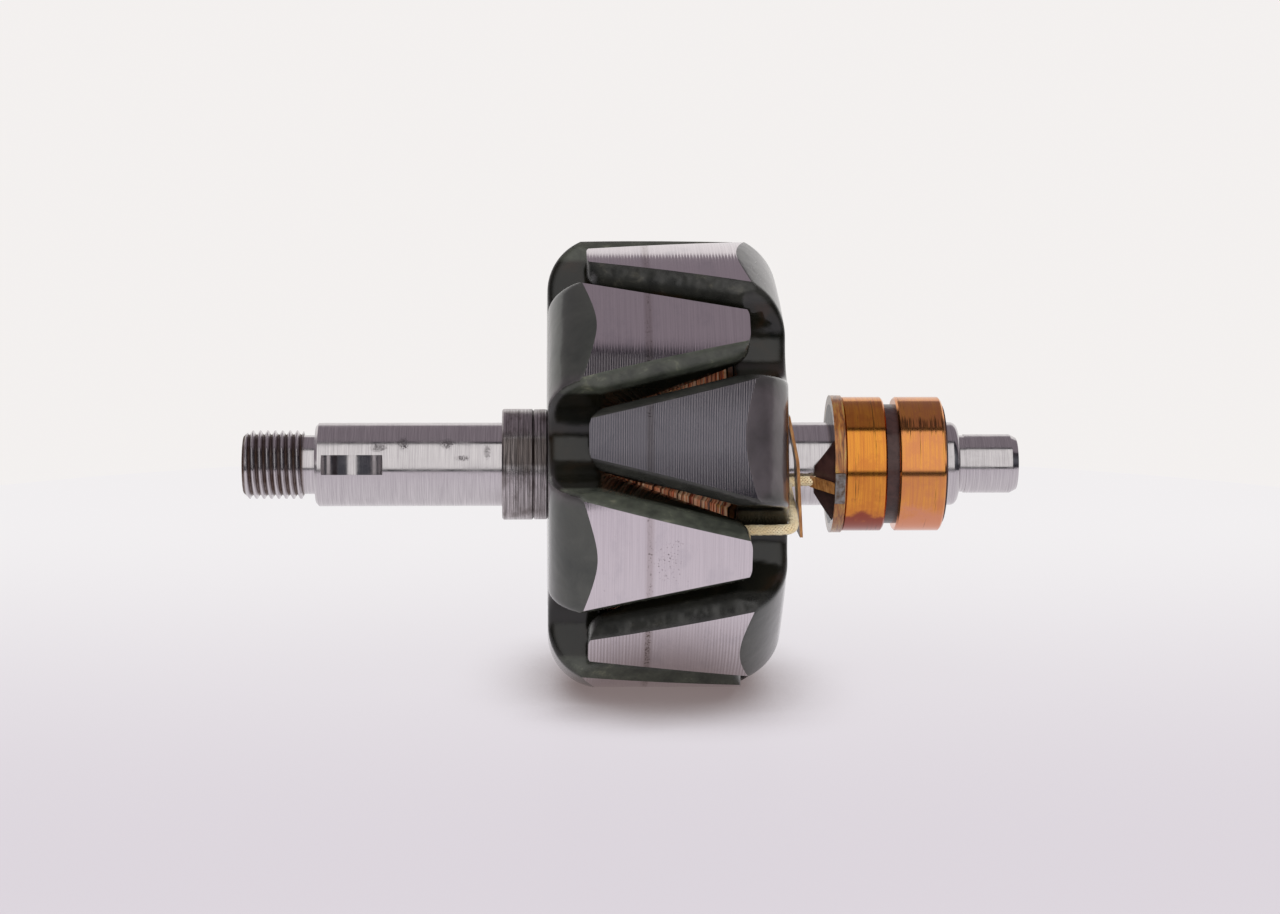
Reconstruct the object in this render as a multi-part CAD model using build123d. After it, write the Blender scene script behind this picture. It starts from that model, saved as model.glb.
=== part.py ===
"""Claw-pole rotor of a small alternator, in millimetres.

The shaft lies along X: its threaded drive end points to -X and its slip rings to +X.
The origin is on the shaft's axis, at the middle of the pole pack, and +Z is up.
Angles round the shaft are counted from the front (-Y) upwards (towards +Z).
"""
from build123d import *
import os
from math import atan2, cos, degrees, radians, sin, sqrt, tan

os.makedirs("parts", exist_ok=True)

# Pole pack
rotor_radius = 45.45
pack_length = 46.7
claws_per_piece = 6
slip_end_claw_angle = 15.0
plate_thickness = 10.2
valley_depth = 12.95
valley_edge_fillet = 1.0

# Claws: the forged blank and the machined face
claw_face_root_width = 23.6
claw_face_tip_width = 7.5
claw_tip_gap = 7.75
claw_tip_corner_radius = 4.4
claw_tip_thickness = 4.0
claw_root_thickness = 12.4
claw_root_fillet = 1.5
claw_bevel_width = 1.6
claw_bevel_depth = 2.2
claw_blank_width = 42.0
machined_face_margin = 6.7
blank_sweep_angle = 50.0

# Forged shoulders: round between claw and end face, height over the rotor, crown across the claw
drive_end_shoulder_radius = 11.0
drive_end_crown_height = 0.12
drive_end_crown_radius = 90.0
slip_end_shoulder_radius = 13.5
slip_end_crown_height = 0.7
slip_end_crown_radius = 140.0

# Core, bobbin and winding
core_radius = 22.0
bobbin_wall = 1.2
bobbin_flange_thickness = 1.0
bobbin_claw_gap = 1.75
bobbin_clearance = 0.2
winding_below_flange = 0.3
winding_flat_length = 9.0
winding_claw_gap = 0.1
winding_clearance = 0.1

# Shaft
shaft_radius = 8.5
press_seat_radius = 8.8
thread_radius = 7.0
thread_length = 12.1
thread_chamfer = 1.2
neck_radius = 6.0
neck_length = 2.6
neck_shoulder_chamfer = 0.6
journal_length = 37.8
rear_shaft_length = 37.0
rear_shoulder_round = 1.4
undercut_radius = 5.8
undercut_length = 1.5
bearing_seat_radius = 6.0
bearing_seat_length = 10.7
bearing_seat_chamfer = 1.3
centre_drill_radius = 1.6
centre_drill_mouth_radius = 3.4
centre_drill_depth = 5.0
key_cutter_radius = 6.5
key_width = 4.0
key_depth = 4.6
key_from_journal_end = 7.6
key_angle = 8.0

# Spacers between the drive-end bearing and the pole pack
collar_radius = 11.3
collar_length = 6.3
washer_radius = 11.25
washer_length = 2.9
spacer_chamfer = 0.3

# Slip rings
ring_radius = 13.7
ring_wall = 1.5
ring_edge_chamfer = 0.35
inner_ring_length = 8.4
ring_gap = 2.5
outer_ring_length = 9.35
flange_radius = 14.05
flange_length = 2.2
flange_from_pack = 10.9
hub_end_length = 0.5
ramp_length = 3.8
ramp_top_radius = 12.9
ramp_foot_radius = 9.4
ramp_foot_half_angle = 18.0
front_ramp_half_angle = 42.0
rear_ramp_half_angle = 22.0
lead_angle = -12.0

# Leads from the winding to the rings
sleeve_radius = 1.1
sleeve_seat = 0.15
sleeve_start_inset = 2.5
sleeve_valley_bend = 2.1
sleeve_shaft_bend = 2.4
strip_width = 7.0
strip_thickness = 0.6
strip_inset = 9.0
strip_top = 13.5
strip_bottom = -10.5
strip_bend = 4.5
strip_bend_lift = 1.9
strip_bend_radius = 12.0
lead_end_width = 2.2
lead_end_thickness = 0.9
tab_length = 2.0
tab_width = 6.4
tab_thickness = 0.6

# How far cutting shapes reach past what they cut
cut_margin = 2.0

# Places along the shaft
half_pack = pack_length / 2
plate_inner_x = half_pack - plate_thickness
tip_x = -(half_pack - claw_tip_gap)
face_root_x = half_pack - machined_face_margin
claw_pitch = 360 / claws_per_piece
lead_valley_angle = slip_end_claw_angle - claw_pitch / 2
drive_end_claw_angle = slip_end_claw_angle + claw_pitch / 2
valley_floor_radius = rotor_radius - valley_depth
blank_reach = rotor_radius + max(drive_end_crown_height, slip_end_crown_height) + cut_margin
claw_root_radius = rotor_radius - claw_root_thickness
bobbin_flange_radius = claw_root_radius - bobbin_claw_gap
strip_radius = valley_floor_radius - strip_inset
washer_x = -half_pack - washer_length
collar_x = washer_x - collar_length
journal_x = collar_x - journal_length
neck_x = journal_x - neck_length
thread_x = neck_x - thread_length
rear_end_x = half_pack + rear_shaft_length
undercut_x = rear_end_x + undercut_length
bearing_end_x = undercut_x + bearing_seat_length
flange_x = half_pack + flange_from_pack
inner_ring_x = flange_x + flange_length
ring_gap_x = inner_ring_x + inner_ring_length
outer_ring_x = ring_gap_x + ring_gap
outer_ring_end_x = outer_ring_x + outer_ring_length
hub_end_x = outer_ring_end_x + hub_end_length
hub_radius = ring_radius - ring_wall


def place(shape, angle):
    """Turn a shape that was built at the top of the rotor to its angle round the shaft."""
    return Rot(90 - angle, 0, 0) * shape


def polar(x, radius, angle):
    """A point from its place along the shaft, its radius and its angle."""
    return Vector(x, -radius * cos(radians(angle)), radius * sin(radians(angle)))


def section(points, rounds=()):
    """A flat section from its corners, some of them rounded: (corner, radius)."""
    face = make_face(Polyline(*points, close=True))
    for corner, radius in rounds:
        face = fillet(face.vertices().sort_by_distance(corner)[0], radius)
    return face


def turned(points, rounds=()):
    """A solid of revolution about the shaft's axis, from (x, radius) corners."""
    return revolve(Plane.XZ * section(points, rounds), Axis.X)


def ring(x_start, x_end, inner, outer, chamfered=0.0):
    """A turned ring with an edge chamfer on its outside."""
    return turned(
        [
            (x_start, inner),
            (x_start, outer - chamfered),
            (x_start + chamfered, outer),
            (x_end - chamfered, outer),
            (x_end, outer - chamfered),
            (x_end, inner),
        ]
        if chamfered
        else [(x_start, inner), (x_start, outer), (x_end, outer), (x_end, inner)]
    )


def centre_drill(x, direction):
    """The 60 degree centre hole that the shaft was turned on."""
    mouth_depth = (centre_drill_mouth_radius - centre_drill_radius) * sqrt(3)
    return turned(
        [
            (x - direction, 0),
            (x - direction, centre_drill_mouth_radius),
            (x, centre_drill_mouth_radius),
            (x + direction * mouth_depth, centre_drill_radius),
            (x + direction * centre_drill_depth, centre_drill_radius),
            (x + direction * (centre_drill_depth + centre_drill_radius / 2), 0),
        ]
    )


def make_shaft():
    """The stepped shaft, with its thread at crest size, its keyway and its centre holes."""
    body = turned(
        [
            (thread_x, 0),
            (thread_x, thread_radius - thread_chamfer),
            (thread_x + thread_chamfer, thread_radius),
            (neck_x, thread_radius),
            (neck_x, neck_radius),
            (journal_x, neck_radius),
            (journal_x, shaft_radius - neck_shoulder_chamfer),
            (journal_x + neck_shoulder_chamfer, shaft_radius),
            (collar_x, shaft_radius),
            (collar_x, press_seat_radius),
            (half_pack, press_seat_radius),
            (half_pack, shaft_radius),
            (rear_end_x, shaft_radius),
            (rear_end_x, undercut_radius),
            (undercut_x, undercut_radius),
            (undercut_x, bearing_seat_radius),
            (bearing_end_x - bearing_seat_chamfer, bearing_seat_radius),
            (bearing_end_x, bearing_seat_radius - bearing_seat_chamfer / 2),
            (bearing_end_x, 0),
        ],
        [((rear_end_x, shaft_radius), rear_shoulder_round)],
    )
    key_x = journal_x + key_from_journal_end
    cutter_height = shaft_radius - key_depth + key_cutter_radius
    cutter = Pos(key_x, 0, cutter_height) * Rot(90, 0, 0) * Cylinder(key_cutter_radius, key_width)
    body -= place(cutter, key_angle)
    body -= centre_drill(thread_x, 1)
    body -= centre_drill(bearing_end_x, -1)
    return body


def claw_side_section(shoulder_radius, crown):
    """The bent blank cut along its middle: end plate, shoulder and tapering claw."""
    corner = (half_pack, crown)
    root = (plate_inner_x, claw_root_radius)
    points = [(plate_inner_x, core_radius), (half_pack, core_radius), corner]
    points += [(tip_x, crown), (tip_x, rotor_radius - claw_tip_thickness), root]
    return section(points, [(corner, shoulder_radius), (root, claw_root_fillet)])


def claw_underside_radius(x):
    """The radius of the claw's sloping underside, at a place along the claw."""
    share = (plate_inner_x - x) / (plate_inner_x - tip_x)
    return claw_root_radius + share * (claw_root_thickness - claw_tip_thickness)


def claw_blank(shoulder_radius, crown, crown_radius):
    """The forged blank, crowned across the claw about an axis beyond the shaft."""
    crown_axis = Axis((0, 0, crown - crown_radius), (1, 0, 0))
    blank = revolve(Plane.XZ * claw_side_section(shoulder_radius, crown), crown_axis, blank_sweep_angle)
    return blank.rotate(crown_axis, -blank_sweep_angle / 2)


def face_half_width(x):
    """Half the width of the machined face, at a place along the claw."""
    share = (x - tip_x) / (face_root_x - tip_x)
    return (claw_face_tip_width + share * (claw_face_root_width - claw_face_tip_width)) / 2


def claw_half_width(x):
    """Half the width of the whole claw, with the bevels beside its machined face."""
    return face_half_width(x) + claw_bevel_width


def claw_planform():
    """The claw seen from outside, with the wide blank of its end plate behind it."""
    blank = claw_blank_width / 2
    tip = claw_half_width(tip_x)
    points = [(half_pack + cut_margin, blank), (plate_inner_x, blank)]
    points += [(plate_inner_x, claw_half_width(plate_inner_x)), (tip_x, tip)]
    points += [(x, -y) for x, y in reversed(points)]
    corner = claw_tip_corner_radius
    outline = section(points, [((tip_x, side * tip), corner) for side in (1, -1)])
    return extrude(outline, blank_reach)


def claw_roof():
    """A tapering hipped prism that leaves the forged bevel along both edges of the face."""
    spread = claw_bevel_width / claw_bevel_depth
    low = core_radius - cut_margin
    high = blank_reach
    sections = []
    for x in (tip_x - cut_margin, half_pack + cut_margin):
        width = face_half_width(x)
        edge = sqrt(rotor_radius**2 - width**2)
        foot = width + (edge - low) * spread
        top = width - (high - edge) * spread
        trapezium = section([(-foot, low), (foot, low), (top, high), (-top, high)])
        sections.append(Plane.YZ.offset(x) * trapezium)
    return loft(sections, ruled=True)


def valley_cutter():
    """A round-bottomed V between two claws, whose sides carry on from the claws' own."""
    half_gap = claw_pitch / 2
    apex = claw_half_width(plate_inner_x) / sin(radians(half_gap))
    slope = sin(radians(half_gap))
    round_radius = (valley_floor_radius - apex) * slope / (1 - slope)
    top = blank_reach
    half_top = (top - apex) * tan(radians(half_gap))
    round_height = valley_floor_radius + round_radius
    tangent = (round_radius * cos(radians(half_gap)), round_height - round_radius * slope)
    walls = Polyline((-tangent[0], tangent[1]), (-half_top, top), (half_top, top), tangent)
    floor = ThreePointArc(tangent, (0, valley_floor_radius), (-tangent[0], tangent[1]))
    outline = make_face(Curve() + [walls, floor])
    return extrude(Plane.YZ.offset(plate_inner_x) * outline, plate_thickness + cut_margin)


def pole_piece(shoulder_radius, crown_height, crown_radius):
    """One forged pole piece with its end plate at +X and a claw at the top."""
    blank = claw_blank(shoulder_radius, rotor_radius + crown_height, crown_radius)
    claw = blank & claw_planform() & claw_roof()
    turns = [index * claw_pitch for index in range(claws_per_piece)]
    body = ring(plate_inner_x, half_pack, press_seat_radius, core_radius + 2 * cut_margin)
    body += [Rot(turn, 0, 0) * claw for turn in turns]
    body -= [Rot(turn + claw_pitch / 2, 0, 0) * valley_cutter() for turn in turns]
    body &= Rot(0, 90, 0) * Cylinder(rotor_radius, 2 * pack_length)
    return fillet(valley_edges(body), valley_edge_fillet)


def valley_edges(body):
    """The edges where the floors of the valleys meet the end face of a plate."""
    arcs = body.edges().filter_by(GeomType.CIRCLE).filter_by_position(Axis.X, half_pack, half_pack)
    turns = [radians((index + 0.5) * claw_pitch) for index in range(claws_per_piece)]
    radius = valley_floor_radius
    floors = [(half_pack, radius * sin(turn), radius * cos(turn)) for turn in turns]
    return [arcs.sort_by_distance(floor)[0] for floor in floors]


def make_coil():
    """The bobbin and the winding that fills it, thickest in the middle."""
    inner = plate_inner_x - bobbin_clearance
    flange = inner - bobbin_flange_thickness
    tube = core_radius + bobbin_clearance
    barrel = tube + bobbin_wall
    bobbin = turned(
        [
            (-inner, tube),
            (-inner, bobbin_flange_radius),
            (-flange, bobbin_flange_radius),
            (-flange, barrel),
            (flange, barrel),
            (flange, bobbin_flange_radius),
            (inner, bobbin_flange_radius),
            (inner, tube),
        ]
    )
    side = flange - winding_clearance
    wound = barrel + winding_clearance
    flat = winding_flat_length / 2
    low = bobbin_flange_radius - winding_below_flange
    high = claw_underside_radius(flat) - winding_claw_gap
    winding = turned(
        [(-side, wound), (-side, low), (-flat, high), (flat, high), (side, low), (side, wound)]
    )
    return bobbin, winding


def make_hub():
    """The moulded insulator under the rings, with a ramp up which each lead climbs."""
    hub = ring(flange_x, hub_end_x, shaft_radius, hub_radius)
    ramp = turned(
        [
            (flange_x - ramp_length, shaft_radius),
            (flange_x - ramp_length, ramp_foot_radius),
            (flange_x, ramp_top_radius),
            (flange_x, shaft_radius),
        ]
    )
    for angle, spread in ((lead_angle, front_ramp_half_angle), (lead_angle + 180, rear_ramp_half_angle)):
        hub += ramp & place(ramp_sector(spread), angle)
    return hub


def ramp_sector(half_angle):
    """A wedge about the top of the shaft that spreads towards the flange."""
    reach = 2 * ramp_top_radius
    sections = []
    for x, angle in ((flange_x - ramp_length, ramp_foot_half_angle), (flange_x, half_angle)):
        side = reach * tan(radians(angle))
        sections.append(Plane.YZ.offset(x) * section([(0, 0), (-side, reach), (side, reach)]))
    return loft(sections, ruled=True)


def lead_route():
    """The sleeve's middle line: out through a valley, down the end face and along the shaft."""
    valley = valley_floor_radius + sleeve_seat + sleeve_radius
    face = half_pack + sleeve_seat + sleeve_radius
    along = shaft_radius + sleeve_seat + sleeve_radius
    stop = flange_x - ramp_length - sleeve_radius
    return [
        polar(plate_inner_x - sleeve_start_inset, valley, lead_valley_angle),
        polar(face, valley, lead_valley_angle),
        polar(face, along, lead_angle),
        polar(stop, along, lead_angle),
    ]


def make_sleeve():
    """The braided sleeve over one lead."""
    route = FilletPolyline(*lead_route(), radius=[sleeve_valley_bend, sleeve_shaft_bend])
    return sweep(Plane(origin=route @ 0, z_dir=route % 0) * Circle(sleeve_radius), path=route)


def make_lead_end():
    """The flattened bare end of a lead, which climbs the ramp to the rim of the flange."""
    stop = lead_route()[-1].X
    foot = shaft_radius + sleeve_seat + sleeve_radius
    rise = flange_radius + sleeve_seat - ramp_top_radius
    half = lead_end_thickness / 2
    outline = section(
        [
            (stop + sleeve_seat, foot - half),
            (stop + sleeve_seat, foot + half),
            (flange_x - sleeve_seat, ramp_top_radius + rise + half),
            (flange_x - sleeve_seat, ramp_top_radius + rise - half),
        ]
    )
    blade = extrude(Plane.XZ * outline, lead_end_width / 2, both=True)
    return place(blade, lead_angle)


def make_strip():
    """The stiff varnished strip that leans out from the end face over the sleeve."""
    crossing = polar(0, strip_radius, lead_valley_angle).Z
    lift = 2 * (sleeve_radius + sleeve_seat)
    slope = (lift - strip_bend_lift) / (strip_bend - crossing)
    inner = [
        (half_pack, strip_top),
        (half_pack + strip_bend_lift, strip_bend),
        (half_pack + lift + slope * (crossing - strip_bottom), strip_bottom),
    ]
    outer = [(x + strip_thickness, z) for x, z in inner]
    band = section(inner + outer[::-1], [(inner[1], strip_bend_radius), (outer[1], strip_bend_radius)])
    return Pos(0, -strip_radius, 0) * extrude(Plane.XZ * band, strip_width / 2, both=True)


def make_tab():
    """The soldered tab on the rim of the flange, where a lead reaches its ring."""
    seat = ring(flange_x, flange_x + tab_length, flange_radius, flange_radius + tab_thickness)
    blank = Box(tab_length, tab_width, 2 * flange_radius, align=(Align.MIN, Align.CENTER, Align.MIN))
    tab = seat & Pos(flange_x, 0, 0) * blank
    return place(tab, lead_angle)


def behind(shape):
    """The same piece on the far side of the shaft."""
    return Rot(180, 0, 0) * shape


slip_end_pole = pole_piece(slip_end_shoulder_radius, slip_end_crown_height, slip_end_crown_radius)
drive_end_pole = pole_piece(drive_end_shoulder_radius, drive_end_crown_height, drive_end_crown_radius)
bobbin, winding = make_coil()
sleeve = make_sleeve()
lead_end = make_lead_end()
strip = make_strip()
tab = make_tab()
inner_ring = ring(inner_ring_x, ring_gap_x, hub_radius, ring_radius, ring_edge_chamfer)
outer_ring = ring(outer_ring_x, outer_ring_end_x, hub_radius, ring_radius, ring_edge_chamfer)

nodes = {
    "shaft": make_shaft(),
    "front_spacer_collar": ring(collar_x, washer_x, press_seat_radius, collar_radius, spacer_chamfer),
    "front_thrust_washer": ring(washer_x, -half_pack, press_seat_radius, washer_radius, spacer_chamfer),
    "drive_end_pole_piece": place(mirror(drive_end_pole, Plane.YZ), drive_end_claw_angle),
    "slip_ring_end_pole_piece": place(slip_end_pole, slip_end_claw_angle),
    "pole_core": ring(-plate_inner_x, plate_inner_x, press_seat_radius, core_radius),
    "coil_bobbin": bobbin,
    "field_winding": winding,
    "inner_ring_lead_sleeve": sleeve,
    "outer_ring_lead_sleeve": behind(sleeve),
    "inner_ring_lead_end": lead_end,
    "outer_ring_lead_end": behind(lead_end),
    "inner_lead_retaining_strip": strip,
    "outer_lead_retaining_strip": behind(strip),
    "slip_ring_insulator": make_hub(),
    "insulator_flange": ring(flange_x, inner_ring_x, hub_radius, flange_radius),
    "inner_ring_solder_tab": tab,
    "outer_ring_solder_tab": behind(tab),
    "inner_slip_ring": inner_ring,
    "outer_slip_ring": outer_ring,
}
for name, shape in nodes.items():
    export_step(shape, f"parts/{name}.step")
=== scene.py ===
"""Looks of the claw-pole rotor: its materials, its thread, its winding and its leads.

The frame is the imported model's: the shaft lies along X with the thread at -X and the slip rings at
+X, the origin is on the axis at the middle of the pole pack, and the rotor rests on two claws.
Meshes are in metres. The lengths named here are in millimetres, and angles round the shaft are in
degrees, counted from the front (-Y) upwards.
"""

from functools import reduce
from math import cos, hypot, pi, radians, sin
from random import Random

import bmesh
import bpy
from mathutils import Matrix, Vector


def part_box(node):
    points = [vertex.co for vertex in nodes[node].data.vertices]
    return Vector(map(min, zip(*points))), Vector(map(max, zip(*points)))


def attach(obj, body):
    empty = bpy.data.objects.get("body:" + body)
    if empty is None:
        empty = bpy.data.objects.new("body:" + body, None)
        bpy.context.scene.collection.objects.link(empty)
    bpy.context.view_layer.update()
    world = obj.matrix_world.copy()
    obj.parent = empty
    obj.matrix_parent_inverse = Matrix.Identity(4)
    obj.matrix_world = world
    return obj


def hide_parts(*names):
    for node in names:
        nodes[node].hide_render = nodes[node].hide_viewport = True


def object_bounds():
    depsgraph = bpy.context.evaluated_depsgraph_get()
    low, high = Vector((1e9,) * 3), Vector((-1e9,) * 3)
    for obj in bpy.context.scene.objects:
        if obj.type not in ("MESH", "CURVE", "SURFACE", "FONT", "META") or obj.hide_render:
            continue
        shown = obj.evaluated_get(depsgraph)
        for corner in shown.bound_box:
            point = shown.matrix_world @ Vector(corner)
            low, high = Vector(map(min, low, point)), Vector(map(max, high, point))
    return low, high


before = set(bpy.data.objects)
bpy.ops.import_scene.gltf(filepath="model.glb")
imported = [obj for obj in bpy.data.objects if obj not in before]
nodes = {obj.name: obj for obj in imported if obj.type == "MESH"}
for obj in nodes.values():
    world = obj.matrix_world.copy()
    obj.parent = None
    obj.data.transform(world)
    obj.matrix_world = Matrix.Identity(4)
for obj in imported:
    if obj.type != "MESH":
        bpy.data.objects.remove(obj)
cad_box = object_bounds()

MM = 0.001

# The photograph's frame and camera: the scale is in pixels to the millimetre at the shaft's axis,
# the axis lies so many pixels below the frame's middle, and the roll is in radians
PHOTO_WIDTH = 1280
LENS = 85.0
SENSOR = 36.0
AXIS_SCALE = 4.893
CAMERA_AZIMUTH = -2.0
CAMERA_ELEVATION = 8.6
CAMERA_ROLL = 0.0037
AIM_X = -4.45
AXIS_BELOW_CENTRE = 7.05

# The round table
TABLE_RADIUS = 314
TABLE_THICKNESS = 12
TABLE_COLOUR = (0.84, 0.83, 0.84, 1)
# painted shade: the table's glow goes from the far colour at the back to the darker near colour in
# front
TABLE_FAR_COLOUR = (0.92, 0.90, 0.91, 1)
TABLE_NEAR_COLOUR = (0.73, 0.68, 0.735, 1)
TABLE_FAR_Y = 200
TABLE_NEAR_Y = -150
TABLE_OWN_LIGHT = 0.90
# painted shadow: the table's colour where the rotor is near, and how far that painted shadow reaches
PAINTED_SHADOW_COLOUR = (0.22, 0.175, 0.172, 1)
PAINTED_SHADOW_REACH = 26
TABLE_EDGE_Y = -205

# The room that the metal mirrors, by degrees over the front horizon
BACKDROP_COLOUR = (0.90, 0.875, 0.865, 1)
PANEL_COLOUR = (0.98, 0.96, 0.95, 1)
CEILING_COLOUR = (0.26, 0.225, 0.25, 1)
GAP_COLOUR = (0.015, 0.015, 0.02, 1)
SIDE_LOW_COLOUR = (0.03, 0.03, 0.038, 1)
SIDE_MIDDLE_COLOUR = (0.125, 0.127, 0.143, 1)
SIDE_HIGH_COLOUR = (0.035, 0.032, 0.038, 1)
UNDER_PANEL = -150
PANEL_LOW = -4
PANEL_HIGH = 66
CEILING_LOW = 74
BACKDROP_LOW = 145
PANEL_HALF_WIDTH = 16
SIDE_MIDDLE_LOW = 18
SIDE_MIDDLE_HIGH = 34
SIDE_HIGH = 58

# Place in metres, size in metres and power in watts of the two soft lamps
LAMPS = {
    "key_lamp": ((-0.15, -0.6, 1.1), 1.4, 6.0),
    "front_lamp": ((0.1, -0.95, 0.3), 1.0, 5.0),
}

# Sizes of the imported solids
ROTOR_RADIUS = 45.45
HALF_PACK = 23.35
PLATE_THICKNESS = 10.2
VALLEY_RADIUS = 32.5
JOURNAL_RADIUS = 8.5
THREAD_CREST = 7.0
THREAD_ROOT = 6.1
THREAD_PITCH = 1.5
THREAD_CHAMFER = 1.2
NECK_RADIUS = 6.0
NECK_LENGTH = 2.6
JOURNAL_LENGTH = 37.8
WOUND_HALF = 11.85
WOUND_FLAT_HALF = 4.5
WOUND_BELOW_FLANGE = 0.3
WOUND_DEPTH = 7.7
RAMP_LENGTH = 3.8
LEAD_ANGLE = -12.0

# The thread's grid, and the shares of its half pitch that its root's flat and its wall take
THREAD_STEPS = 96
THREAD_ROWS = 12
ROOT_FLAT = 0.10
THREAD_WALL = 0.76

# The winding: its wire, how far the body lies under the turns, and its steps round the shaft
WIRE_PITCH = 0.78
WIRE_RADIUS = 0.37
WIRE_SIDES = 8
BODY_BELOW_TURNS = 0.62
WINDING_STEPS = 120

# The leads' sleeves: their place in the valley, their route's steps and their strands
LEAD_VALLEY_ANGLE = -13.7
SLEEVE_RADIUS = 1.1
SLEEVE_SEAT = 0.15
SLEEVE_INSET = 2.5
SLEEVE_ON_RAMP = 0.4
SLEEVE_STEP = 0.35
STRANDS = 8
STRAND_LAY = 5.2
STRAND_RADIUS = 0.235
STRAND_FLATNESS = 0.62
STRAND_INSET = 0.22
STRAND_WAVE = 0.09

# Smudges on the journal: place along the shaft, angle, and size along and round
SMUDGES = (
    (-52.4, 38, (2.2, 3.0)),
    (-43.6, 38, (2.6, 2.4)),
    (-40.4, 17, (3.0, 1.2)),
    (-57.3, 32, (3.4, 1.8)),
    (-35.5, 26, (1.4, 3.2)),
    (-48.0, -150, (6.0, 2.5)),
)

# The claws: the lathe's feed, the rounding of the varnish over edges, and the radii over which a
# turned face, a flank and a shoulder fade in
FEED_PITCH = 0.62
VARNISH_ROUNDING = 1.8
FACE_FADE = (ROTOR_RADIUS - 0.09, ROTOR_RADIUS - 0.03)
FLANK_FADE = (41.2, 42.4)
SHOULDER_FADE = (36.0, 39.0)

# Marks on the claws: the stained band and the patch of pits along the shaft, the patch's angles,
# and the angles of the lower claws, of the painted sheen on the shoulders in front and of the
# topmost shoulder, whose corner is scratched from this place on
STAIN_X = (-4.7, -3.3)
PITS_X = (-2.8, 2.2)
PITS_ANGLE = (-21, -10)
LOWER_CLAWS = (-28, -36)
SHEEN_ANGLE = (0, 30)
TOPMOST = (60, 64)
CORNER_X = (15, 17)

# Angles of the painted dark reflection on the spacers and of the soot on the rings, and where their
# foot's colour is
DARK_REFLECTION_ANGLE = (7, 37)
SOOTY_ANGLE = (36, 52)
RING_FOOT = (2, -16)


def span(name):
    """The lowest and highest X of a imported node, in millimetres."""
    low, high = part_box(name)
    return low[0] / MM, high[0] / MM


thread_x = span("shaft")[0]
journal_end_x = span("front_spacer_collar")[0]
neck_x = journal_end_x - JOURNAL_LENGTH - NECK_LENGTH
flange_x = span("insulator_flange")[0]
wound_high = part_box("field_winding")[1][2] / MM
wound_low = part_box("coil_bobbin")[1][2] / MM - WOUND_BELOW_FLANGE


def around(x, radius, angle):
    """A point from its place along the shaft, its radius and its angle, in metres."""
    turn = radians(angle)
    return Vector((x, -radius * cos(turn), radius * sin(turn))) * MM


# ---------------------------------------------------------------- shader nodes


class Shader:
    """A short way to write the nodes of one material or of the world."""

    def __init__(self, tree):
        self.tree = tree
        tree.nodes.clear()

    def put(self, socket, value):
        """Link or set a socket. None leaves it as it is."""
        if isinstance(value, bpy.types.NodeSocket):
            self.tree.links.new(value, socket)
        elif value is not None:
            socket.default_value = value

    def node(self, kind, *inputs, **settings):
        made = self.tree.nodes.new("ShaderNode" + kind)
        for name, value in settings.items():
            setattr(made, name, value)
        for index, value in enumerate(inputs):
            self.put(made.inputs[index], value)
        return made

    def math(self, operation, *inputs):
        return self.node("Math", *inputs, operation=operation).outputs[0]

    def add(self, first, second):
        return self.math("ADD", first, second)

    def times(self, first, second):
        return self.math("MULTIPLY", first, second)

    def most(self, first, second):
        return self.math("MAXIMUM", first, second)

    def hypot(self, first, second):
        squares = self.add(self.times(first, first), self.times(second, second))
        return self.math("SQRT", squares)

    def degrees(self, rise, run):
        return self.math("DEGREES", self.math("ARCTAN2", rise, run))

    def vector(self, operation, *inputs):
        return self.node("VectorMath", *inputs, operation=operation).outputs[0]

    def stretch(self, value, factors):
        return self.vector("MULTIPLY", value, factors)

    def split(self, value):
        return self.node("SeparateXYZ", value).outputs[:3]

    def step(self, value, start, end, top=1.0):
        """0 before start and top past end, smooth between them. Start may be above end."""
        ends = (start, end, 0.0, top) if start < end else (end, start, top, 0.0)
        return self.node("MapRange", value, *ends, interpolation_type="SMOOTHSTEP").outputs[0]

    def band(self, value, low, high, soft, top=1.0):
        """top between low and high, 0 outside."""
        rise = self.step(value, low - soft, low + soft, top)
        return self.times(rise, self.step(value, high + soft, high - soft))

    def mix(self, share, low, high):
        """A colour or a direction between low and high."""
        made = self.tree.nodes.new("ShaderNodeMix")
        made.data_type = "RGBA"
        self.put(made.inputs[0], share)
        self.put(made.inputs[6], low)
        self.put(made.inputs[7], high)
        return made.outputs[2]

    def blend(self, share, low, high):
        """A number between low and high."""
        return self.add(low, self.times(share, self.math("SUBTRACT", high, low)))

    def ramp(self, value, *stops):
        made = self.node("ValToRGB", value)
        points = made.color_ramp.elements
        while len(points) < len(stops):
            points.new(1.0)
        for point, (place, colour) in zip(points, stops):
            point.position = place
            point.color = colour
        return made.outputs[0]

    def bump(self, height, strength, depth, normal=None):
        made = self.node("Bump")
        inputs = {"Strength": strength, "Distance": depth * MM, "Height": height, "Normal": normal}
        for name, value in inputs.items():
            self.put(made.inputs[name], value)
        return made.outputs[0]

    def surface(self, **sockets):
        bsdf = self.node("BsdfPrincipled")
        for name, value in sockets.items():
            self.put(bsdf.inputs[name.replace("_", " ")], value)
        self.node("OutputMaterial", bsdf.outputs[0])


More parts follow.
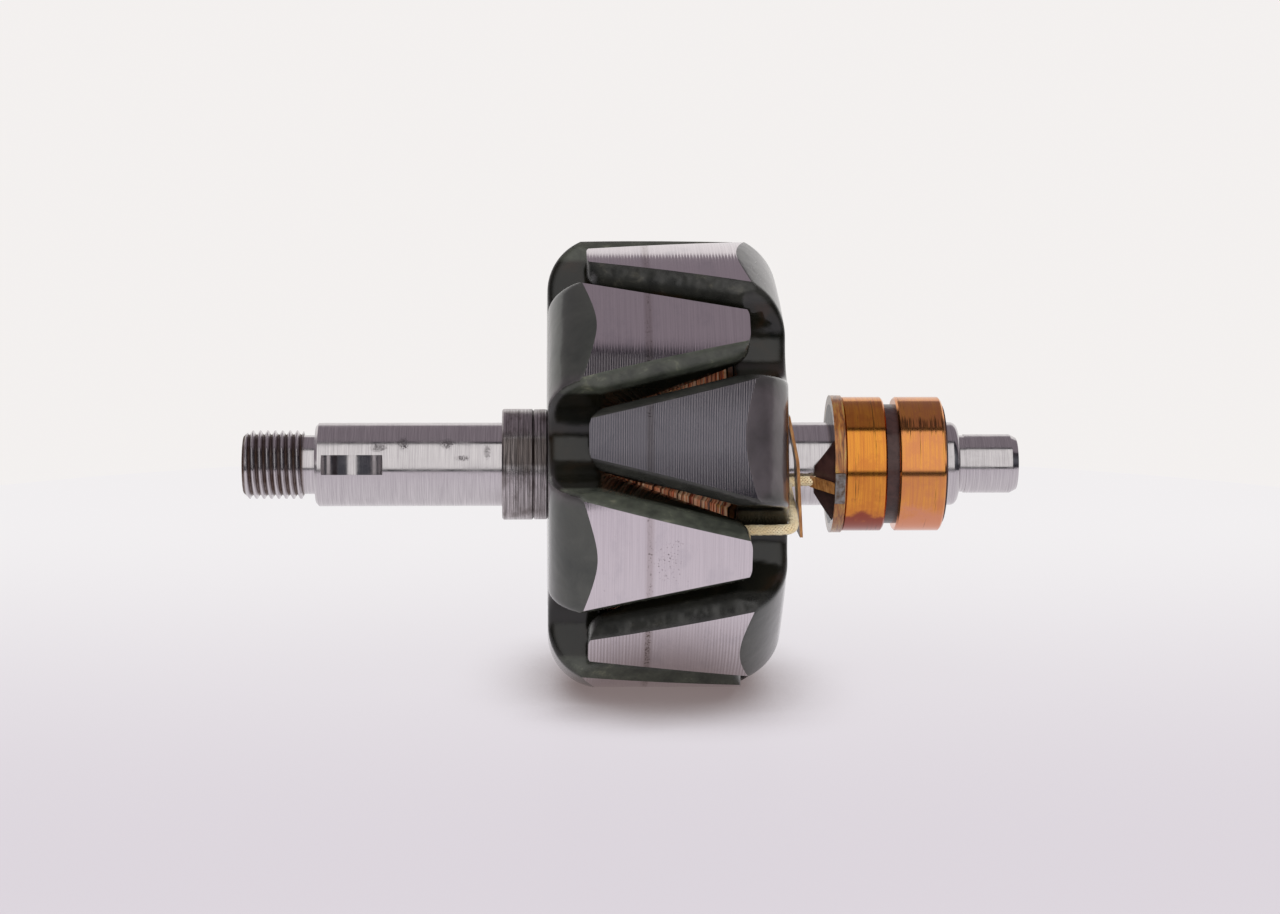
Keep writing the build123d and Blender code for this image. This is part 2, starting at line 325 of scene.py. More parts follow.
class Place:
    """Where a shader's point is: in millimetres, and by its radius and angle round the shaft."""

    def __init__(self, shader):
        self.shader = shader
        where = shader.node("TexCoord").outputs["Object"]
        self.mm = shader.stretch(where, (1000, 1000, 1000))
        self.x, self.y, self.z = shader.split(self.mm)
        self.radius = shader.hypot(self.y, self.z)
        self.angle = shader.degrees(self.z, shader.times(self.y, -1.0))

    def noise(self, factors, detail=2.0, roughness=0.5, distortion=0.0):
        """Noise with a factor for each axis: the larger it is, the finer the grain."""
        made = self.shader.node("TexNoise")
        inputs = {"Vector": self.shader.stretch(self.mm, factors), "Scale": 1.0, "Detail": detail,
                  "Roughness": roughness, "Distortion": distortion}
        for name, value in inputs.items():
            self.shader.put(made.inputs[name], value)
        return made.outputs[0]

    def spot(self, x, radius, angle, size):
        """1 at a point of the surface, fading to 0 a size away from it."""
        centre = tuple(around(x, radius, angle) / MM)
        offset = self.shader.vector("SUBTRACT", self.mm, centre)
        reach = self.shader.vector("DIVIDE", offset, (size[0], size[1], size[1]))
        length = self.shader.node("VectorMath", reach, operation="LENGTH").outputs[1]
        return self.shader.step(length, 1.0, 0.2)


def look(name):
    """A new material with the writers of its nodes and of its places."""
    material = bpy.data.materials.new(name)
    material.use_nodes = True
    shader = Shader(material.node_tree)
    return material, shader, Place(shader)


def assign(material, *names):
    """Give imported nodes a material."""
    for name in names:
        materials = nodes[name].data.materials
        materials.clear()
        materials.append(material)


# ---------------------------------------------------------------- camera, room and table


def add_camera():
    """The camera, aimed so that one millimetre at the shaft's axis is AXIS_SCALE pixels."""
    focal = PHOTO_WIDTH * LENS / SENSOR
    distance = focal / AXIS_SCALE * MM
    azimuth = radians(CAMERA_AZIMUTH)
    elevation = radians(CAMERA_ELEVATION)
    level = cos(elevation)
    back = Vector((sin(azimuth) * level, -cos(azimuth) * level, sin(elevation)))
    aim = Vector((AIM_X * MM, 0, AXIS_BELOW_CENTRE / AXIS_SCALE * MM / level))
    data = bpy.data.cameras.new("camera")
    data.lens = LENS
    data.sensor_width = SENSOR
    data.clip_start = 0.01
    data.clip_end = 20.0
    camera = bpy.data.objects.new("camera", data)
    camera.location = aim + back * distance
    turn = back.to_track_quat("Z", "Y").to_matrix().to_4x4()
    camera.rotation_euler = (turn @ Matrix.Rotation(CAMERA_ROLL, 4, "Z")).to_euler()
    bpy.context.scene.collection.objects.link(camera)
    bpy.context.scene.camera = camera


def add_room():
    """The studio: a front panel, a grey ceiling, dark sides and a white backdrop."""
    world = bpy.data.worlds.new("studio")
    bpy.context.scene.world = world
    world.use_nodes = True
    shader = Shader(world.node_tree)
    x, y, z = shader.split(shader.node("TexCoord").outputs["Generated"])
    lift = shader.degrees(z, shader.times(y, -1.0))
    aside = shader.degrees(shader.math("ABSOLUTE", x), shader.hypot(y, z))

    def at(degree):
        return (degree + 180) / 360

    share = shader.math("MULTIPLY_ADD", lift, 1 / 360, 0.5)
    front = shader.ramp(
        share,
        (0.0, BACKDROP_COLOUR),
        (at(UNDER_PANEL), GAP_COLOUR),
        (at(PANEL_LOW - 0.5), GAP_COLOUR),
        (at(PANEL_LOW), PANEL_COLOUR),
        (at(PANEL_HIGH), PANEL_COLOUR),
        (at(PANEL_HIGH + 1), GAP_COLOUR),
        (at(CEILING_LOW - 1), GAP_COLOUR),
        (at(CEILING_LOW), CEILING_COLOUR),
        (at(BACKDROP_LOW), CEILING_COLOUR),
        (at(BACKDROP_LOW + 3), BACKDROP_COLOUR),
        (1.0, BACKDROP_COLOUR),
    )
    beside = shader.times(
        shader.step(aside, PANEL_HALF_WIDTH - 3, PANEL_HALF_WIDTH + 3),
        shader.band(lift, PANEL_LOW - 2, CEILING_LOW, 2),
    )
    side = shader.ramp(
        share,
        (at(PANEL_LOW), SIDE_LOW_COLOUR),
        (at(SIDE_MIDDLE_LOW), SIDE_MIDDLE_COLOUR),
        (at(SIDE_MIDDLE_HIGH), SIDE_MIDDLE_COLOUR),
        (at(SIDE_HIGH), SIDE_HIGH_COLOUR),
    )
    mirrored = shader.mix(beside, front, side)
    seen = shader.node("LightPath").outputs["Is Camera Ray"]
    background = shader.node("Background", shader.mix(seen, mirrored, BACKDROP_COLOUR), 1.0)
    shader.node("OutputWorld", background.outputs[0])


def add_lamp(name, place, size, power):
    """A soft lamp aimed at the rotor, which lights it and isn't mirrored in it."""
    data = bpy.data.lights.new(name, "AREA")
    data.shape = "DISK"
    data.size = size
    data.energy = power
    lamp = bpy.data.objects.new(name, data)
    lamp.visible_glossy = False
    lamp.location = place
    lamp.rotation_euler = Vector(place).to_track_quat("Z", "Y").to_euler()
    bpy.context.scene.collection.objects.link(lamp)


def link(name, mesh, material, smooth=True):
    """A new object of a bmesh, with its material."""
    data = bpy.data.meshes.new(name)
    mesh.to_mesh(data)
    mesh.free()
    made = bpy.data.objects.new(name, data)
    bpy.context.scene.collection.objects.link(made)
    data.polygons.foreach_set("use_smooth", [smooth] * len(data.polygons))
    data.materials.append(material)
    return made


def link_outward(name, mesh, material, smooth=True):
    """The same, with the normals turned outwards first."""
    bmesh.ops.recalc_face_normals(mesh, faces=mesh.faces)
    return link(name, mesh, material, smooth)


def add_table():
    """The white table top that the rotor lies on, with a painted shadow where the rotor is near and
    painted shade towards the front.
    """
    material, shader, place = look("white_table")
    paint = shader.node("BsdfPrincipled")
    paint.inputs["Base Color"].default_value = TABLE_COLOUR
    paint.inputs["Roughness"].default_value = 0.42
    paint.inputs["Specular IOR Level"].default_value = 0.35
    # painted shade: the glow darkens from the far side of the table to the near side
    nearness = shader.step(place.y, TABLE_FAR_Y, TABLE_NEAR_Y)
    lit = shader.mix(nearness, TABLE_FAR_COLOUR, TABLE_NEAR_COLOUR)
    # a painted shadow darkens the table's glow where the rotor is near
    shade = shader.node("AmbientOcclusion", None, PAINTED_SHADOW_REACH * MM, samples=12)
    lit = shader.mix(shader.step(shade.outputs["AO"], 0.15, 0.95), PAINTED_SHADOW_COLOUR, lit)
    glow = shader.node("Emission", None, 1.0)
    path = shader.node("LightPath").outputs
    # the metal mirrors the table's near edge as a dark line
    edge = shader.step(place.y, TABLE_EDGE_Y, TABLE_EDGE_Y - 10)
    edge = shader.times(edge, path["Is Glossy Ray"])
    shader.put(glow.inputs["Color"], shader.mix(edge, lit, GAP_COLOUR))
    seen = shader.most(path["Is Camera Ray"], path["Is Glossy Ray"])
    share = shader.times(seen, TABLE_OWN_LIGHT)
    both = shader.node("MixShader", share, paint.outputs[0], glow.outputs[0])
    shader.node("OutputMaterial", both.outputs[0])
    mesh = bmesh.new()
    bmesh.ops.create_cone(mesh, cap_ends=True, segments=256, radius1=TABLE_RADIUS * MM,
                          radius2=TABLE_RADIUS * MM, depth=TABLE_THICKNESS * MM)
    table = link("table", mesh, material, smooth=False)
    table.location.z = cad_box[0][2] - TABLE_THICKNESS / 2 * MM


# ---------------------------------------------------------------- materials


def steel_material():
    """Ground and turned steel of the shaft, with smudges, scratches and grime in the thread."""
    material, shader, place = look("ground_steel")
    lines = place.noise((7.0, 0.12, 0.12), 3.0, 0.6)
    scratches = place.noise((0.5, 6.0, 6.0), 5.0, 0.75)
    cloud = place.noise((0.16, 0.3, 0.3), 4.0, 0.6)
    steel = shader.ramp(lines, (0.3, (0.50, 0.475, 0.49, 1)), (0.72, (0.72, 0.69, 0.70, 1)))
    steel = shader.mix(shader.step(scratches, 0.62, 0.75), steel, (0.40, 0.37, 0.37, 1))

    spots = [place.spot(x, JOURNAL_RADIUS, angle, size) for x, angle, size in SMUDGES]
    specks = place.noise((5.0, 3.0, 3.0), 5.0, 0.85)
    specks = shader.add(specks, shader.times(reduce(shader.most, spots), 0.26))
    marks = shader.step(specks, 0.68, 0.80)
    steel = shader.mix(shader.times(marks, 0.8), steel, (0.075, 0.06, 0.065, 1))

    in_thread = shader.step(place.x, neck_x + 0.6, neck_x - 0.2)
    in_root = shader.step(place.radius, THREAD_CREST - 0.42, THREAD_ROOT + 0.04)
    patchy = shader.blend(shader.step(cloud, 0.2, 0.6), 0.65, 1.0)
    grime = shader.times(shader.times(in_thread, in_root), patchy)
    colour = shader.mix(grime, steel, (0.125, 0.080, 0.062, 1))

    clean = shader.blend(shader.step(cloud, 0.35, 0.7), 0.13, 0.24)
    rough = shader.most(clean, shader.times(shader.most(grime, marks), 0.5))
    normal = shader.bump(lines, 0.08, 0.02)
    normal = shader.bump(scratches, 0.04, 0.03, normal)
    shader.surface(Base_Color=colour, Metallic=1.0, Roughness=rough, Normal=normal)
    return material


def spacer_material():
    """Coarsely turned steel of the collar and the washer, stained, with a painted dark reflection in
    front.
    """
    material, shader, place = look("turned_steel")
    lines = place.noise((3.4, 0.05, 0.05), 2.0, 0.7)
    stain = place.noise((0.35, 0.22, 0.22), 4.0, 0.6)
    steel = shader.ramp(lines, (0.32, (0.22, 0.20, 0.20, 1)), (0.66, (0.62, 0.58, 0.59, 1)))
    # a painted dark reflection in a band in front, joined with the stains
    painted_dark_reflection = shader.band(place.angle, *DARK_REFLECTION_ANGLE, 3, 0.72)
    stained = shader.most(shader.step(stain, 0.45, 0.7, 0.6), painted_dark_reflection)
    colour = shader.mix(stained, steel, (0.10, 0.075, 0.065, 1))
    normal = shader.bump(lines, 0.9, 0.16)
    shader.surface(Base_Color=colour, Metallic=1.0, Roughness=0.26, Normal=normal)
    return material


def claw_masks(shader, place, normal):
    """Where a pole piece is a turned face, a claw's flank and a forged shoulder or plate."""
    nx, ny, nz = shader.split(normal)
    outward = shader.add(shader.times(place.y, ny), shader.times(place.z, nz))
    outward = shader.math("DIVIDE", outward, place.radius)
    along = shader.math("ABSOLUTE", nx)
    face = shader.times(shader.step(place.radius, *FACE_FADE), shader.step(outward, 0.975, 0.985))
    face = shader.times(face, shader.step(along, 0.08, 0.05))
    # how far the surface leans sideways tells a claw's flanks from its shoulder
    upright = shader.hypot(outward, along)
    flank = shader.times(shader.step(upright, 0.93, 0.86), shader.step(place.radius, *FLANK_FADE))
    reach = shader.most(shader.step(place.radius, *SHOULDER_FADE), shader.step(along, 0.96, 0.99))
    shoulder = shader.times(shader.step(upright, 0.88, 0.95), reach)
    return face, flank, shoulder


def turned_colour(shader, place, lines):
    """The claw faces: turned bright, with a stained band in the middle and pits in and by it."""
    cloud = place.noise((0.25, 0.16, 0.16), 4.0, 0.6)
    pits = place.noise((2.4, 2.2, 2.2), 3.0, 0.75)
    middle = shader.band(place.x, *STAIN_X, 0.5)
    beside = shader.band(place.x, *PITS_X, 0.8)
    beside = shader.times(beside, shader.band(place.angle, *PITS_ANGLE, 1.5))
    low = shader.step(place.angle, *LOWER_CLAWS)
    pitted = shader.times(middle, shader.blend(low, 0.10, 0.17))
    pits = shader.add(pits, shader.add(pitted, shader.times(beside, 0.09)))
    colour = shader.ramp(lines, (0.3, (0.64, 0.59, 0.62, 1)), (0.7, (0.73, 0.675, 0.705, 1)))
    colour = shader.mix(shader.step(cloud, 0.5, 0.72, 0.25), colour, (0.46, 0.44, 0.48, 1))
    colour = shader.mix(shader.step(pits, 0.70, 0.74), colour, (0.05, 0.03, 0.025, 1))
    stained = shader.times(middle, shader.blend(low, 0.34, 0.46))
    return shader.mix(stained, colour, (0.26, 0.20, 0.18, 1))


def forged_colour(shader, place, flank, shoulder, resin_tint):
    """The rest: brown-black varnish, satin on the shoulders, painted sheen on those in front, resin
    on the flanks, and scuffs.
    """
    mottle = place.noise((0.12, 0.12, 0.12), 4.0, 0.55, 0.6)
    blotch = place.noise((0.22, 0.3, 0.3), 5.0, 0.62, 0.3)
    varnish = shader.ramp(mottle, (0.35, (0.0045, 0.005, 0.0035, 1)),
                          (0.55, (0.009, 0.008, 0.005, 1)), (0.75, (0.022, 0.011, 0.005, 1)))
    satin = shader.ramp(mottle, (0.3, (0.046, 0.051, 0.046, 1)), (0.7, (0.082, 0.086, 0.076, 1)))
    # painted sheen: a lighter, purplish satin on the shoulders in front
    wear_and_sheen = shader.ramp(mottle, (0.3, (0.080, 0.070, 0.073, 1)), (0.7, (0.150, 0.128, 0.138, 1)))
    satin = shader.mix(shader.band(place.angle, *SHEEN_ANGLE, 3), satin, wear_and_sheen)
    top = shader.step(place.angle, *TOPMOST)
    satin = shader.mix(top, satin, (0.016, 0.015, 0.015, 1))
    resin = shader.ramp(blotch, (0.34, (0.055, 0.060, 0.050, 1)), (0.60, (0.110, 0.118, 0.095, 1)),
                        (0.72, (0.24, 0.245, 0.18, 1)))
    colour = shader.mix(shoulder, varnish, satin)
    colour = shader.mix(flank, colour, shader.stretch(resin, resin_tint))
    # the topmost shoulder at the rings' end is scratched more than the rest
    corner = shader.times(shoulder, shader.times(top, shader.step(place.x, *CORNER_X)))
    scuffs = shader.add(place.noise((0.9, 0.35, 3.2), 5.0, 0.8), shader.times(corner, 0.07))
    scuffed = shader.times(shader.step(scuffs, 0.70, 0.76), shader.blend(corner, 0.5, 0.9))
    bare = shader.mix(corner, (0.26, 0.26, 0.24, 1), (0.75, 0.72, 0.70, 1))
    return shader.mix(scuffed, colour, bare)


def grooved_normal(shader, place, normal, lines):
    """A normal that leans towards either end, as on the walls of the lathe's grooves."""
    wander = shader.times(place.noise((0.4, 0.04, 0.04), 1.0, 0.5), 0.5)
    wave = shader.math("SINE", shader.times(shader.add(place.x, wander), 2 * pi / FEED_PITCH))
    steep = shader.math("POWER", shader.math("ABSOLUTE", wave), 0.35)
    lean = shader.times(shader.math("SIGN", wave), steep)
    lean = shader.times(lean, shader.blend(lines, 0.28, 0.38))
    tilt = shader.node("CombineXYZ", lean, 0.0, 0.0).outputs[0]
    return shader.vector("NORMALIZE", shader.vector("ADD", normal, tilt))


def pole_material(name, resin_tint):
    """Forged steel under dark varnish, its claw faces turned bright."""
    material, shader, place = look(name)
    geometry = shader.node("NewGeometry").outputs
    face, flank, shoulder = claw_masks(shader, place, geometry["True Normal"])
    lines = place.noise((5.0, 0.05, 0.05), 2.0, 0.6)
    turned = turned_colour(shader, place, lines)
    forged = forged_colour(shader, place, flank, shoulder, resin_tint)
    colour = shader.mix(face, forged, turned)
    metal = shader.most(face, shader.times(shoulder, 0.5))
    rough = shader.blend(face, shader.blend(shoulder, 0.13, 0.34), 0.12)
    drips = place.noise((0.22, 0.22, 0.22), 2.0, 0.5)
    rounded = shader.node("Bevel", VARNISH_ROUNDING * MM, samples=6).outputs[0]
    coated = shader.bump(drips, 0.12, 1.0, rounded)
    normal = shader.mix(face, coated, grooved_normal(shader, place, geometry["Normal"], lines))
    coat = shader.times(shader.math("SUBTRACT", 1.0, face), 0.7)
    shader.surface(Base_Color=colour, Metallic=metal, Roughness=rough, Normal=normal,
                   Specular_IOR_Level=0.2, Coat_Weight=coat, Coat_Roughness=0.05,
                   Coat_Normal=coated)
    return material


def wire_material():
    """Enamelled copper wire, redder and darker from turn to turn."""
    material, shader, place = look("enamelled_wire")
    turn = place.noise((1.9, 0.05, 0.05), 2.0, 0.6)
    patch = place.noise((0.3, 0.22, 0.22), 3.0, 0.6)
    colour = shader.ramp(turn, (0.36, (0.26, 0.040, 0.014, 1)), (0.46, (1.0, 0.34, 0.15, 1)),
                         (0.60, (1.0, 0.66, 0.42, 1)))
    colour = shader.mix(shader.step(patch, 0.58, 0.66, 0.8), colour, (0.62, 0.32, 0.07, 1))
    shader.surface(Base_Color=colour, Metallic=0.2, Roughness=0.32, Coat_Weight=0.6,
                   Coat_Roughness=0.12)
    return material


def varnish_material(name, dark, light, roughness=0.2):
    """Set resin: dark, uneven and glossy."""
    material, shader, place = look(name)
    mottle = place.noise((0.35, 0.35, 0.35), 4.0, 0.6, 0.5)
    colour = shader.ramp(mottle, (0.35, dark), (0.7, light))
    normal = shader.bump(mottle, 0.4, 0.3)
    shader.surface(Base_Color=colour, Metallic=0.0, Roughness=roughness, Normal=normal,
                   Specular_IOR_Level=0.3, Coat_Weight=0.3, Coat_Roughness=0.15)
    return material


def ring_material(name, bright, wear_and_sheen, foot, streaks):
    """A slip ring's copper, streaked by its brush, with its own colour towards its foot."""
    material, shader, place = look(name)
    track = place.noise((2.6, 0.05, 0.05), 4.0, 0.65)
    fine = place.noise((11.0, 0.25, 0.25), 2.0, 0.6)
    cloud = place.noise((0.30, 0.30, 0.30), 4.0, 0.6)
    colour = shader.ramp(track, (0.3, wear_and_sheen), (0.6, bright))
    colour = shader.mix(shader.step(cloud, 0.42, 0.66, 0.6), colour, wear_and_sheen)
    edge = shader.add(place.angle, shader.times(cloud, 60.0))
    colour = shader.mix(shader.step(edge, *RING_FOOT), colour, foot)
    sooty = shader.band(place.angle, *SOOTY_ANGLE, 6, streaks)
    dark = shader.step(shader.add(track, sooty), 0.60, 0.70, 0.8)
    colour = shader.mix(dark, colour, (0.05, 0.022, 0.018, 1))
    normal = shader.bump(track, 0.10, 0.04)
    normal = shader.bump(fine, 0.06, 0.02, normal)
    rough = shader.blend(dark, 0.13, 0.30)
    shader.surface(Base_Color=colour, Metallic=1.0, Roughness=rough, Normal=normal)
    return material


def flange_material():
    """The moulding's amber-brown rim with greenish gold streaks."""
    material, shader, place = look("amber_flange")
    streak = place.noise((1.8, 0.25, 0.25), 4.0, 0.65, 0.4)
    colour = shader.ramp(streak, (0.3, (0.05, 0.018, 0.008, 1)), (0.5, (0.38, 0.13, 0.025, 1)),
                         (0.74, (0.50, 0.36, 0.08, 1)))
    normal = shader.bump(streak, 0.5, 0.2)
    shader.surface(Base_Color=colour, Metallic=0.25, Roughness=0.3, Normal=normal,
                   Coat_Weight=0.6, Coat_Roughness=0.12)
    return material


def fibre_material():
    """Amber varnished fibre of the strips over the leads."""
    material, shader, place = look("amber_fibre")
    grain = place.noise((3.0, 3.0, 0.35), 4.0, 0.65)
    stain = place.noise((0.4, 0.4, 0.3), 3.0, 0.6)
    colour = shader.ramp(grain, (0.3, (0.16, 0.055, 0.015, 1)), (0.55, (0.42, 0.18, 0.05, 1)),
                         (0.75, (0.66, 0.40, 0.16, 1)))
    colour = shader.mix(shader.step(stain, 0.5, 0.7, 0.5), colour, (0.16, 0.07, 0.02, 1))
    normal = shader.bump(grain, 0.6, 0.25)
    shader.surface(Base_Color=colour, Roughness=0.38, Normal=normal, Coat_Weight=0.4,
                   Coat_Roughness=0.2)
    return material


def braid_material():
    """Cream cotton braid, soaked yellow here and there."""
    material, shader, place = look("cream_braid")
    fluff = place.noise((9.0, 9.0, 9.0), 3.0, 0.6)
    stain = place.noise((0.35, 0.35, 0.35), 3.0, 0.6)
    colour = shader.ramp(stain, (0.35, (1.0, 0.88, 0.62, 1)), (0.65, (0.95, 0.75, 0.43, 1)))
    colour = shader.mix(shader.step(fluff, 0.4, 0.7, 0.35), colour, (0.50, 0.33, 0.13, 1))
    normal = shader.bump(fluff, 0.4, 0.12)
    shader.surface(Base_Color=colour, Roughness=0.6, Normal=normal, Sheen_Weight=0.2)
    return material


def solder_material():
    """Dull grey solder, browned by flux."""
    material, shader, place = look("dull_solder")
    cloud = place.noise((1.1, 1.1, 1.1), 4.0, 0.6)
    colour = shader.ramp(cloud, (0.34, (0.12, 0.085, 0.06, 1)), (0.62, (0.29, 0.28, 0.275, 1)))
    normal = shader.bump(cloud, 0.6, 0.3)
    shader.surface(Base_Color=colour, Metallic=0.85, Roughness=0.34, Normal=normal)
    return material


# ---------------------------------------------------------------- pieces


def thread_radius(phase, x):
    """The thread's radius from its place within one pitch, inside its end chamfer."""
    height = 1 - abs(2 * phase - 1)
    crest = min(max((height - ROOT_FLAT) / THREAD_WALL, 0), 1)
    radius = THREAD_ROOT + (THREAD_CREST - THREAD_ROOT) * crest
    chamfer = THREAD_CREST - THREAD_CHAMFER + (x - thread_x)
    return min(radius, chamfer)


def add_thread(material):
    """The screw thread as a sheared grid that follows the helix, with its end at the neck."""
    mesh = bmesh.new()
    rows = int((neck_x - thread_x) / THREAD_PITCH * THREAD_ROWS) + 2 * THREAD_ROWS
    grid = []
    for row in range(rows + 1):
        ring = []
        for step in range(THREAD_STEPS + 1):
            share = step / THREAD_STEPS
            helix = thread_x + (row / THREAD_ROWS - 1 + share) * THREAD_PITCH
            x = min(max(helix, thread_x), neck_x)
            phase = ((x - thread_x) / THREAD_PITCH - share) % 1.0
            ring.append(mesh.verts.new(around(x, thread_radius(phase, x), -360 * share)))
        grid.append(ring)
    for low, high in zip(grid, grid[1:]):
        for step in range(THREAD_STEPS):
            mesh.faces.new((low[step], high[step], high[step + 1], low[step + 1]))
    for step in range(THREAD_STEPS):
        inner = [mesh.verts.new(around(neck_x, NECK_RADIUS, -360 * place / THREAD_STEPS))
                 for place in (step, step + 1)]
        mesh.faces.new((grid[-1][step], grid[-1][step + 1], inner[1], inner[0]))
    bmesh.ops.remove_doubles(mesh, verts=mesh.verts, dist=0.002 * MM)
    bmesh.ops.dissolve_degenerate(mesh, edges=mesh.edges, dist=0.001 * MM)
    thread = link_outward("shaft_thread", mesh, material)
    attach(thread, "root")
    return thread


def add_shaft(material):
    """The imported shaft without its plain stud, which the thread stands for."""

    def on_stud(face):
        centre = face.calc_center_median() / MM
        beside = thread_x + 0.01 < centre.x < neck_x + 0.05
        return beside and hypot(centre.y, centre.z) > NECK_RADIUS - 0.1

    mesh = bmesh.new()
    mesh.from_mesh(nodes["shaft"].data)
    stud = [face for face in mesh.faces if on_stud(face)]
    bmesh.ops.delete(mesh, geom=stud, context="FACES")
    shaft = link("turned_shaft", mesh, material)
    shaft.data.shade_smooth()
    shaft.data.set_sharp_from_angle(angle=radians(25))
    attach(shaft, "root")
    thread = add_thread(material)
    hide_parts("shaft")
    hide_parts("shaft")


def tube(mesh, centres, radius, sides, flat=1.0, closed=False):
    """A tube round a line of (point, out, side), where out and side are the axes of each ring."""
    rings = []
    for point, out, side in centres:
        ring = []
        for step in range(sides):
            turn = 2 * pi * step / sides
            spoke = out * cos(turn) * flat + side * sin(turn)
            ring.append(mesh.verts.new(point + spoke * radius))
        rings.append(ring)
    pairs = list(zip(rings, rings[1:]))
    if closed:
        pairs.append((rings[-1], rings[0]))
    for low, high in pairs:
        for step in range(sides):
            mesh.faces.new((low[step], low[step - 1], high[step - 1], high[step]))
    if not closed:
        mesh.faces.new(rings[0])
        mesh.faces.new(rings[-1][::-1])


def winding_radius(x):
    """The winding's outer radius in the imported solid: flat in the middle, lower at the flanges."""
    share = max(0.0, abs(x) - WOUND_FLAT_HALF) / (WOUND_HALF - WOUND_FLAT_HALF)
    return wound_high + (wound_low - wound_high) * share


def wire_turns():
    """A mesh of the outer layer of wire: one closed ring a turn, each a little out of line."""
    luck = Random(7)
    mesh = bmesh.new()
    widest = WOUND_HALF - WIRE_RADIUS
    count = int(2 * widest / WIRE_PITCH)
    for turn in range(count + 1):
        x = -count * WIRE_PITCH / 2 + turn * WIRE_PITCH
        wave = luck.uniform(0, 2 * pi)
        sway = luck.uniform(0.02, 0.12)
        sink = luck.uniform(0.0, 0.12)
        centres = []
        for step in range(WINDING_STEPS):
            angle = 360 * step / WINDING_STEPS
            drift = sway * sin(radians(angle) * 2 + wave) + 0.05 * sin(radians(angle) * 7 + wave)
            place = min(max(x + drift, -widest), widest)
            radius = winding_radius(abs(place) + WIRE_RADIUS * 0.5) - WIRE_RADIUS - 0.02 - sink
            out = around(0, 1, angle).normalized()
            centres.append((around(place, radius, angle), out, Vector((1, 0, 0))))
        tube(mesh, centres, WIRE_RADIUS * MM, WIRE_SIDES, closed=True)
    return mesh


def winding_body():
    """A mesh of the varnished body under the turns."""
    inner = wound_low - WOUND_DEPTH
    outline = [(-WOUND_HALF, inner)]
    for x in (-WOUND_HALF, -WOUND_FLAT_HALF, WOUND_FLAT_HALF, WOUND_HALF):
        outline.append((x, winding_radius(x) - BODY_BELOW_TURNS))
    outline.append((WOUND_HALF, inner))
    mesh = bmesh.new()
    rings = []
    for step in range(WINDING_STEPS):
        angle = 360 * step / WINDING_STEPS
        rings.append([mesh.verts.new(around(x, radius, angle)) for x, radius in outline])
    for low, high in zip(rings, rings[1:] + rings[:1]):
        for index in range(len(low)):
            mesh.faces.new((low[index], low[index - 1], high[index - 1], high[index]))
    return mesh


def add_winding(wire, varnish):
    """The outer layer of turns over a varnished body."""
    turns = link_outward("field_winding_turns", wire_turns(), wire)
    body = link_outward("field_winding_varnish", winding_body(), varnish, smooth=False)
    for piece in (turns, body):
        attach(piece, "root")
        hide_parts("field_winding")


def lead_line(turned):
    """The sleeve's middle line as a smooth spline: a list of points, in metres."""
    seat = SLEEVE_RADIUS + SLEEVE_SEAT
    valley = VALLEY_RADIUS + seat
    face = HALF_PACK + seat
    along = JOURNAL_RADIUS + seat
    inside = HALF_PACK - PLATE_THICKNESS - SLEEVE_INSET
    stop = flange_x - RAMP_LENGTH + SLEEVE_ON_RAMP
    # out through the valley, round its edge, down the plate and along the shaft
    route = (
        (inside, valley, LEAD_VALLEY_ANGLE),
        (face - 6.0, valley, LEAD_VALLEY_ANGLE),
        (face - 1.2, valley - 0.1, LEAD_VALLEY_ANGLE),
        (face, valley - 1.6, LEAD_VALLEY_ANGLE),
        (face, valley - 7.0, LEAD_VALLEY_ANGLE + 1.5),
        (face, along + 6.0, LEAD_ANGLE - 1.0),
        (face, along + 1.6, LEAD_ANGLE),
        (face + 1.2, along, LEAD_ANGLE),
        (stop, along, LEAD_ANGLE),
    )
    curve = bpy.data.curves.new("lead_line", "CURVE")
    curve.dimensions = "3D"
    curve.resolution_u = 14
    spline = curve.splines.new("NURBS")
    spline.points.add(len(route) - 1)
    for point, (x, radius, angle) in zip(spline.points, route):
        point.co = (*around(x, radius, angle + turned), 1)
    spline.order_u = 3
    spline.use_endpoint_u = True
    holder = bpy.data.objects.new("lead_line", curve)
    mesh = bpy.data.meshes.new_from_object(holder)
    points = [vertex.co.copy() for vertex in mesh.vertices]
    bpy.data.objects.remove(holder)
    bpy.data.meshes.remove(mesh)
    return even_points(points, SLEEVE_STEP * MM)


def even_points(points, gap):
    """The same line with its points an even gap apart."""
    spread = [points[0]]
    left = gap
    for start, end in zip(points, points[1:]):
        length = (end - start).length
        done = 0.0
        while length - done >= left:
            done += left
            spread.append(start.lerp(end, done / length))
            left = gap
        left -= length - done
    return spread


def frames_along(points):
    """Each point of a line with two steady directions across the line."""
    result = []
    side = None
    for index, point in enumerate(points):
        before = points[max(index - 1, 0)]
        after = points[min(index + 1, len(points) - 1)]
        forward = (after - before).normalized()
        if side is None:
            side = forward.orthogonal().normalized()
        side = (side - forward * side.dot(forward)).normalized()
        result.append((point, side, forward.cross(side)))
    return result


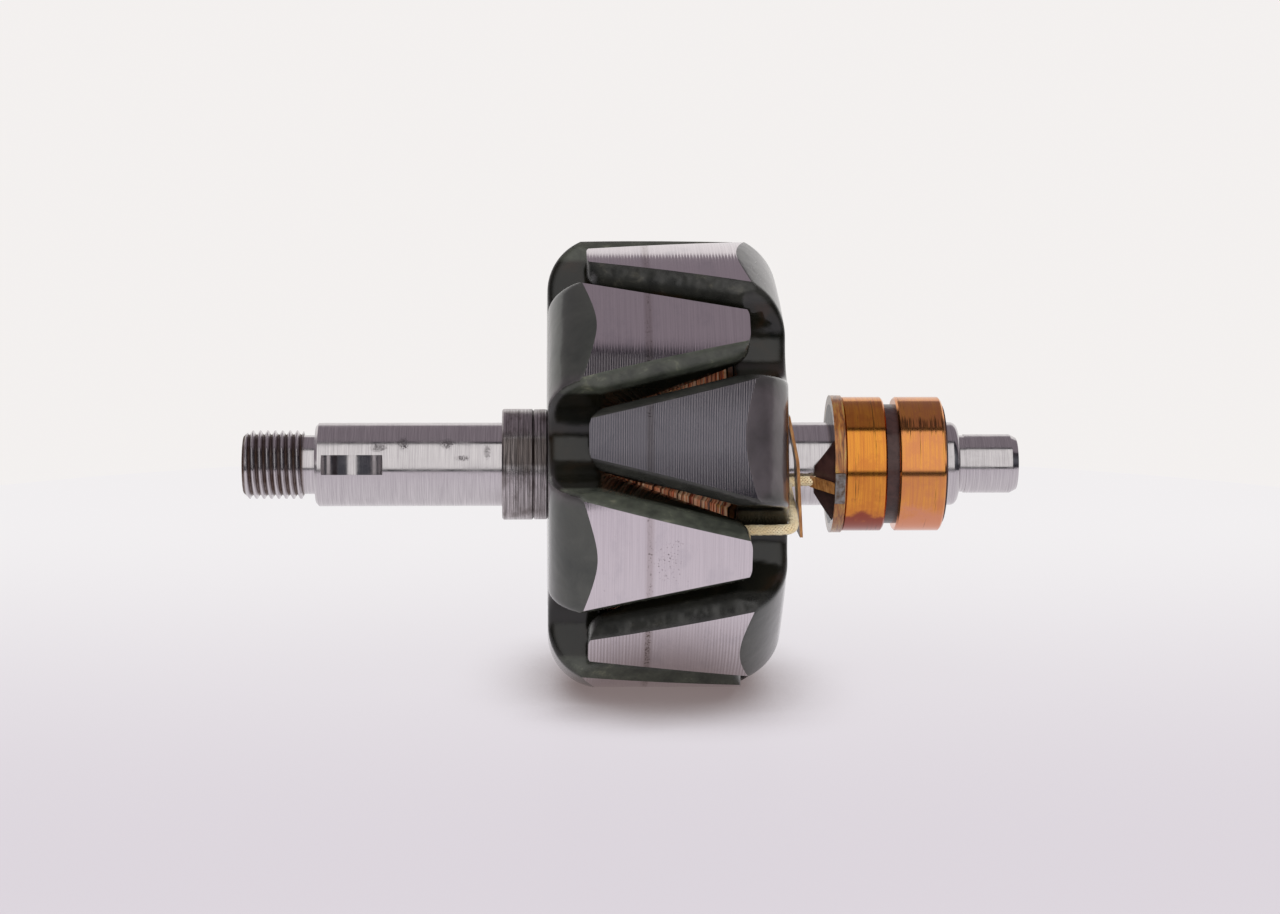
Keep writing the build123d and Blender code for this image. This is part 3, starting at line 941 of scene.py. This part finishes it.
def add_sleeve(name, turned, braid, core_material):
    """A braided sleeve: two families of strands that cross over and under, round a soft core."""
    line = frames_along(lead_line(turned))
    mesh = bmesh.new()
    for way, start in ((1, pi), (-1, 0)):
        for strand in range(STRANDS):
            centres = []
            for index, (point, side, across) in enumerate(line):
                lay = index * SLEEVE_STEP / STRAND_LAY
                turn = 2 * pi * (way * lay + strand / STRANDS)
                weave = sin(2 * pi * lay * STRANDS + start + pi * strand)
                out = side * cos(turn) + across * sin(turn)
                radius = SLEEVE_RADIUS - STRAND_INSET + STRAND_WAVE * weave
                centres.append((point + out * radius * MM, out, out.cross(side.cross(across))))
            tube(mesh, centres, STRAND_RADIUS * MM, 6, flat=STRAND_FLATNESS)
    inner = bmesh.new()
    tube(inner, line, (SLEEVE_RADIUS - 0.3) * MM, 12)
    strands = link_outward(name + "_braid", mesh, braid)
    core = link_outward(name + "_core", inner, core_material)
    for piece in (strands, core):
        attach(piece, "root")
        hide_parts(name)


# ---------------------------------------------------------------- the scene

add_camera()
add_room()
add_table()
for name, (place, size, power) in LAMPS.items():
    add_lamp(name, place, size, power)

winding_varnish = varnish_material("winding_varnish", (0.012, 0.006, 0.004, 1),
                                   (0.10, 0.035, 0.010, 1))
moulding = varnish_material("brown_moulding", (0.030, 0.013, 0.012, 1),
                            (0.070, 0.032, 0.028, 1), 0.34)
amber_ring = ring_material("amber_ring", (0.83, 0.34, 0.055, 1), (0.60, 0.20, 0.05, 1),
                           (0.30, 0.075, 0.05, 1), 0.04)
salmon_ring = ring_material("salmon_ring", (0.83, 0.36, 0.09, 1), (0.66, 0.25, 0.11, 1),
                            (0.72, 0.30, 0.17, 1), 0.16)
fibre = fibre_material()
braid = braid_material()

add_shaft(steel_material())
assign(spacer_material(), "front_spacer_collar", "front_thrust_washer")
assign(pole_material("drive_end_forging", (0.62, 0.62, 0.60)), "drive_end_pole_piece")
assign(pole_material("slip_ring_end_forging", (0.26, 0.24, 0.26)), "slip_ring_end_pole_piece")
assign(winding_varnish, "pole_core", "coil_bobbin")
add_winding(wire_material(), winding_varnish)
assign(moulding, "slip_ring_insulator")
assign(flange_material(), "insulator_flange")
assign(amber_ring, "inner_slip_ring")
assign(salmon_ring, "outer_slip_ring")
assign(solder_material(), "inner_ring_solder_tab", "outer_ring_solder_tab")
assign(fibre, "inner_lead_retaining_strip", "outer_lead_retaining_strip")
assign(fibre, "inner_ring_lead_end", "outer_ring_lead_end")
add_sleeve("inner_ring_lead_sleeve", 0, braid, fibre)
add_sleeve("outer_ring_lead_sleeve", 180, braid, fibre)

bpy.context.scene.view_settings.view_transform = "Standard"
